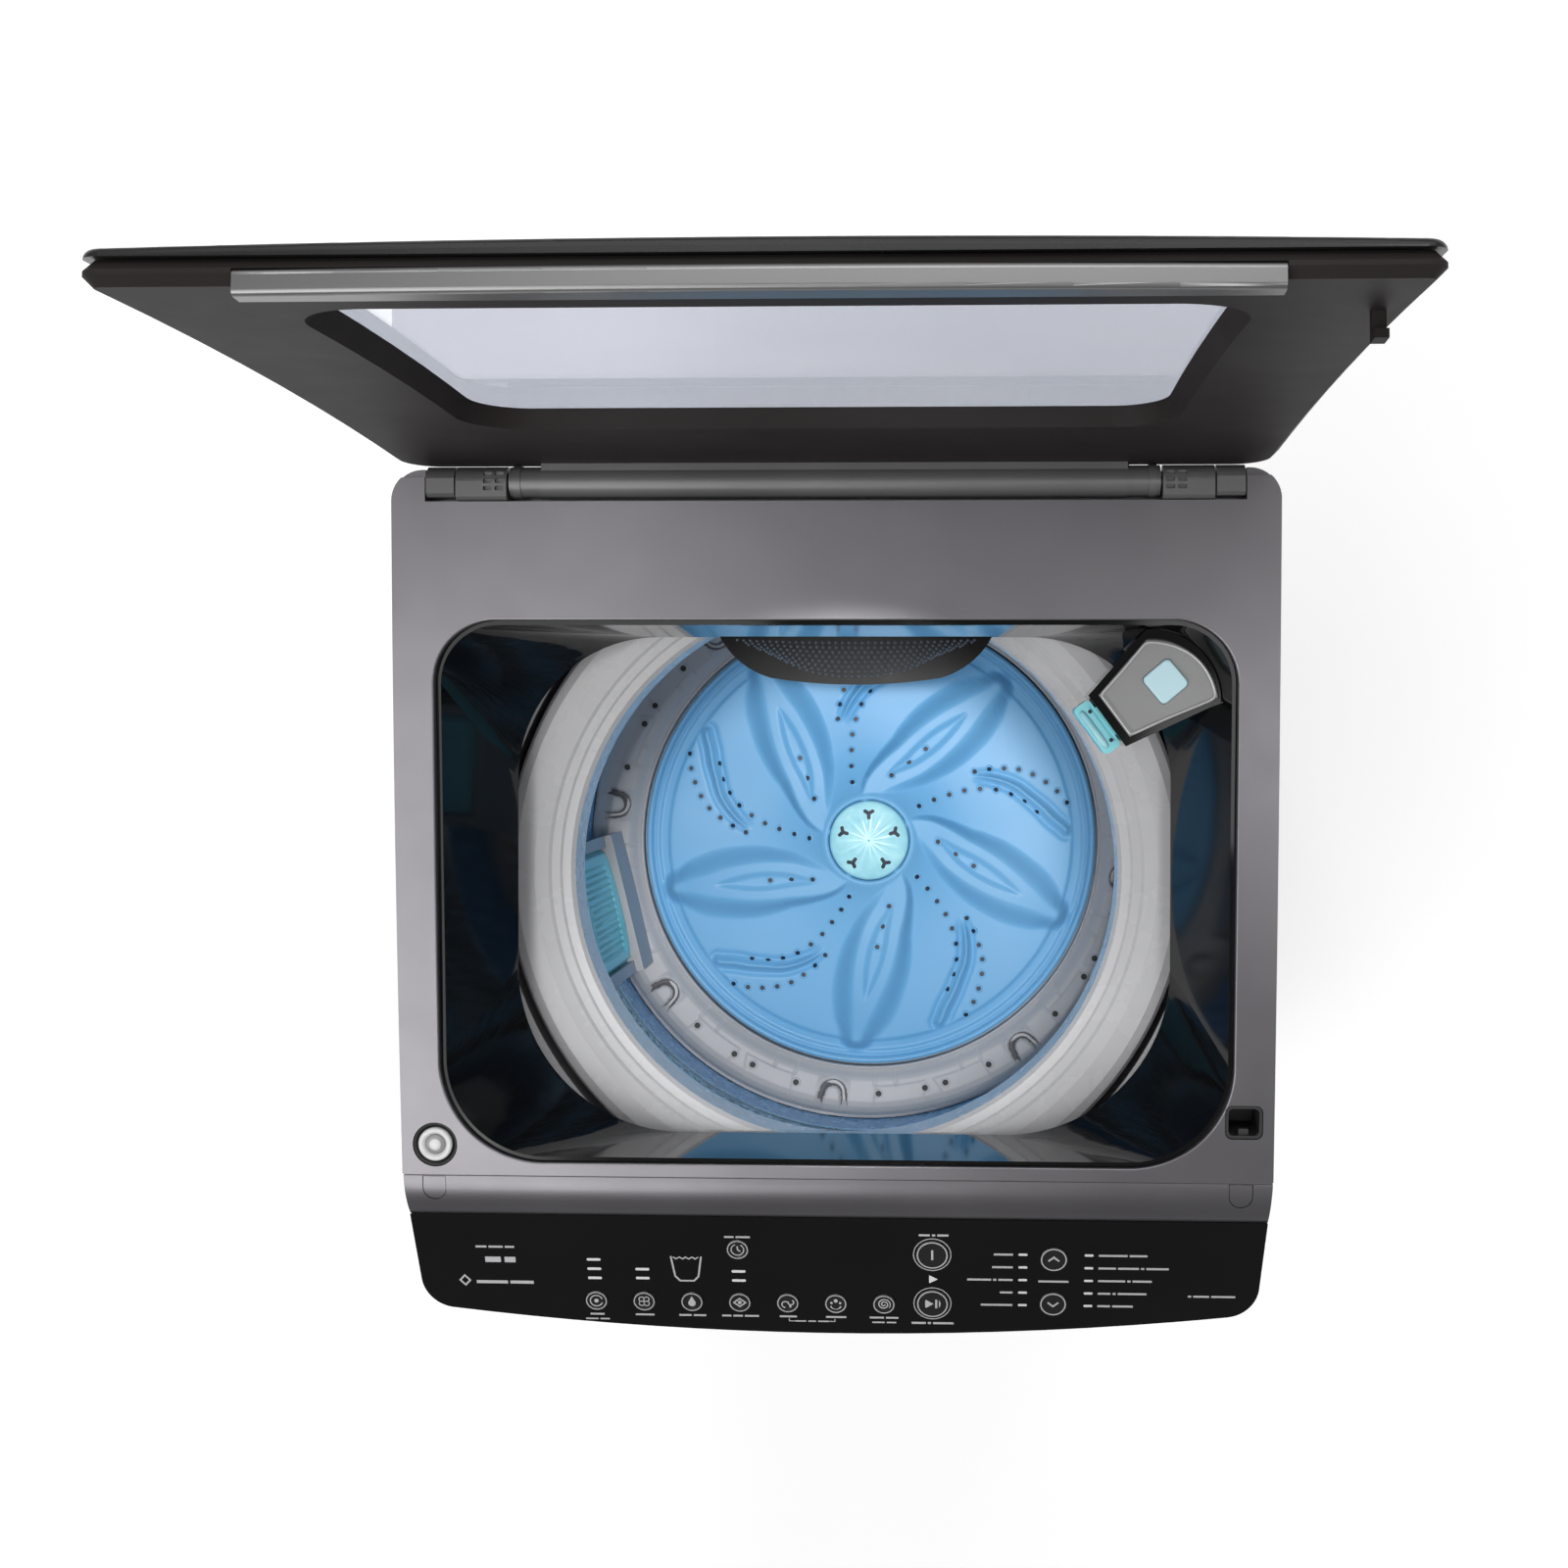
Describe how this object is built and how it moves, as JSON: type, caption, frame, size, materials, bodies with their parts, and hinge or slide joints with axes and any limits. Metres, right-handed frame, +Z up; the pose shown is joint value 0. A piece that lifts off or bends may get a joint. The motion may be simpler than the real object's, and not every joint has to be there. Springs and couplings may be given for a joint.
{
  "type": "top load washing machine",
  "caption": "Top loading clothes washer with a hinged glass lid, spinning drum, blue wash plate, detergent drawer, lint filters and a sloping front control panel.",
  "frame": {"origin": "on the floor, under the middle of the overall box with the lid open", "axes": "+Z up, -Y out of the front where the control panel is, +X to the right seen from the front"},
  "size_m": [0.54, 0.5813, 1.3645],
  "materials": {
    "steel_paint": "satin",
    "zinc_steel": "satin",
    "stainless": "polished",
    "black_base": "matte",
    "foot_rubber": "matte",
    "graphite": "satin",
    "gloss_black": "gloss",
    "lens": "gloss",
    "key_black": "gloss",
    "board_green": "matte",
    "level_white": "gloss",
    "lock_black": "matte",
    "hinge_grey": "satin",
    "lid_dark": "matte",
    "lid_shell": "gloss",
    "pane": "clear",
    "bar_silver": "satin",
    "tray_grey": "satin",
    "aqua": "satin",
    "valve_white": "matte",
    "gland_black": "matte",
    "tub_grey": "matte",
    "ring_white": "satin",
    "base_grey": "satin",
    "pulsator_blue": "satin",
    "cast_alu": "matte",
    "motor_dark": "matte",
    "belt_black": "matte"
  },
  "bodies": {
    "cabinet": {"base_frame": "black_base", "cabinet_shell": "steel_paint", "control_board": "board_green", "control_fascia": "gloss_black", "dispenser_cover": "tray_grey", "dispenser_housing": "gloss_black", "hinge_blocks": "hinge_grey", "indicator_lenses": "lens", "level_indicator": "level_white", "lid_lock_housing": "lock_black", "opening_liner": "gloss_black", "rear_feet": "foot_rubber", "rear_glands": "gland_black", "rear_panel": "zinc_steel", "screw_covers": "graphite", "softener_cap": "aqua", "suspension_rods": "zinc_steel", "suspension_springs": "zinc_steel", "top_cover": "graphite", "water_inlet_valve": "valve_white", "water_spreader": "gloss_black"},
    "lid": {"lid_inner_frame": "lid_dark", "lid_outer_frame": "lid_shell", "lid_glass": "pane", "lid_handle_bar": "bar_silver", "lid_hinge_barrel": "hinge_grey"},
    "tub": {"outer_tub": "tub_grey", "tub_cover": "tub_grey", "drive_mount_plate": "zinc_steel", "gearbox_housing": "cast_alu", "bearings": "stainless", "motor": "motor_dark", "belt": "belt_black", "drain_valve": "valve_white"},
    "basket": {"basket_wall": "stainless", "basket_base": "base_grey", "balance_ring": "ring_white", "spin_shaft": "cast_alu"},
    "wash_plate": {"pulsator": "pulsator_blue", "pulsator_cap": "aqua", "wash_shaft": "stainless"},
    "motor_rotor": {"motor_pulley": "cast_alu"},
    "left_lint_filter": {"lint_filter_left": "aqua"},
    "right_lint_filter": {"lint_filter_right": "aqua"},
    "drawer": {"dispenser_drawer": "aqua"},
    "lock_bolt": {"lid_lock_bolt": "lock_black"},
    "left_foot": {"foot_front_left": "foot_rubber"},
    "right_foot": {"foot_front_right": "foot_rubber"},
    "key_option_1": {"button_option_1": "key_black"},
    "key_option_2": {"button_option_2": "key_black"},
    "key_option_3": {"button_option_3": "key_black"},
    "key_option_4": {"button_option_4": "key_black"},
    "key_option_5": {"button_option_5": "key_black"},
    "key_option_6": {"button_option_6": "key_black"},
    "key_option_7": {"button_option_7": "key_black"},
    "key_delay": {"button_delay": "key_black"},
    "key_power": {"button_power": "key_black"},
    "key_start": {"button_start": "key_black"},
    "key_program_up": {"button_program_up": "key_black"},
    "key_program_down": {"button_program_down": "key_black"}
  },
  "joints": [
    {"name": "lid_hinge", "type": "hinge", "parent": "cabinet", "child": "lid", "pos_m": [0, 0.2466, 0.906], "axis": [1, 0, 0], "range_deg": [0, 94.9]},
    {"name": "tub_float", "type": "slide", "parent": "cabinet", "child": "tub", "axis": [0, 0, 1], "range_m": [-0.02, 0.01], "stiffness_N_per_m": 16000, "springref_m": 0.01658, "deforming": ["suspension_springs"]},
    {"name": "basket_spin", "type": "hinge", "parent": "tub", "child": "basket", "pos_m": [0, 0.0003, 0.5], "axis": [0, 0, 1], "continuous": true},
    {"name": "wash_plate_spin", "type": "hinge", "parent": "tub", "child": "wash_plate", "pos_m": [0, 0.0003, 0.46], "axis": [0, 0, 1], "continuous": true},
    {"name": "motor_spin", "type": "hinge", "parent": "tub", "child": "motor_rotor", "pos_m": [0.128, -0.0617, 0.3], "axis": [0, 0, 1], "continuous": true},
    {"name": "drawer_slide", "type": "slide", "parent": "cabinet", "child": "drawer", "axis": [-0.8021, -0.5971, 0], "range_m": [0, 0.038]},
    {"name": "lock_bolt_slide", "type": "slide", "parent": "cabinet", "child": "lock_bolt", "axis": [0, 0.9967, 0.0812], "range_m": [0, 0.0036]},
    {"name": "left_foot_screw", "type": "slide", "parent": "cabinet", "child": "left_foot", "axis": [0, 0, -1], "range_m": [0, 0.012]},
    {"name": "right_foot_screw", "type": "slide", "parent": "cabinet", "child": "right_foot", "axis": [0, 0, -1], "range_m": [0, 0.012]},
    {"name": "left_lint_filter_slide", "type": "slide", "parent": "basket", "child": "left_lint_filter", "axis": [0.9711, 0.2385, 0], "range_m": [0, 0.012]},
    {"name": "right_lint_filter_slide", "type": "slide", "parent": "basket", "child": "right_lint_filter", "axis": [-0.9711, -0.2385, 0], "range_m": [0, 0.012]},
    {"name": "press_option_1", "type": "slide", "parent": "cabinet", "child": "key_option_1", "axis": [0, 0.3371, -0.9415], "range_m": [0, 0.001], "stiffness_N_per_m": 700},
    {"name": "press_option_2", "type": "slide", "parent": "cabinet", "child": "key_option_2", "axis": [0, 0.3371, -0.9415], "range_m": [0, 0.001], "stiffness_N_per_m": 700},
    {"name": "press_option_3", "type": "slide", "parent": "cabinet", "child": "key_option_3", "axis": [0, 0.3371, -0.9415], "range_m": [0, 0.001], "stiffness_N_per_m": 700},
    {"name": "press_option_4", "type": "slide", "parent": "cabinet", "child": "key_option_4", "axis": [0, 0.3371, -0.9415], "range_m": [0, 0.001], "stiffness_N_per_m": 700},
    {"name": "press_option_5", "type": "slide", "parent": "cabinet", "child": "key_option_5", "axis": [0, 0.3371, -0.9415], "range_m": [0, 0.001], "stiffness_N_per_m": 700},
    {"name": "press_option_6", "type": "slide", "parent": "cabinet", "child": "key_option_6", "axis": [0, 0.3371, -0.9415], "range_m": [0, 0.001], "stiffness_N_per_m": 700},
    {"name": "press_option_7", "type": "slide", "parent": "cabinet", "child": "key_option_7", "axis": [0, 0.3371, -0.9415], "range_m": [0, 0.001], "stiffness_N_per_m": 700},
    {"name": "press_delay", "type": "slide", "parent": "cabinet", "child": "key_delay", "axis": [0, 0.3371, -0.9415], "range_m": [0, 0.001], "stiffness_N_per_m": 700},
    {"name": "press_power", "type": "slide", "parent": "cabinet", "child": "key_power", "axis": [0, 0.3371, -0.9415], "range_m": [0, 0.001], "stiffness_N_per_m": 700},
    {"name": "press_start", "type": "slide", "parent": "cabinet", "child": "key_start", "axis": [0, 0.3371, -0.9415], "range_m": [0, 0.001], "stiffness_N_per_m": 700},
    {"name": "press_program_up", "type": "slide", "parent": "cabinet", "child": "key_program_up", "axis": [0, 0.3371, -0.9415], "range_m": [0, 0.001], "stiffness_N_per_m": 700},
    {"name": "press_program_down", "type": "slide", "parent": "cabinet", "child": "key_program_down", "axis": [0, 0.3371, -0.9415], "range_m": [0, 0.001], "stiffness_N_per_m": 700}
  ],
  "couplings": [
    {"joint": "motor_spin", "follows": "wash_plate_spin", "ratio": 2.9524}
  ]
}
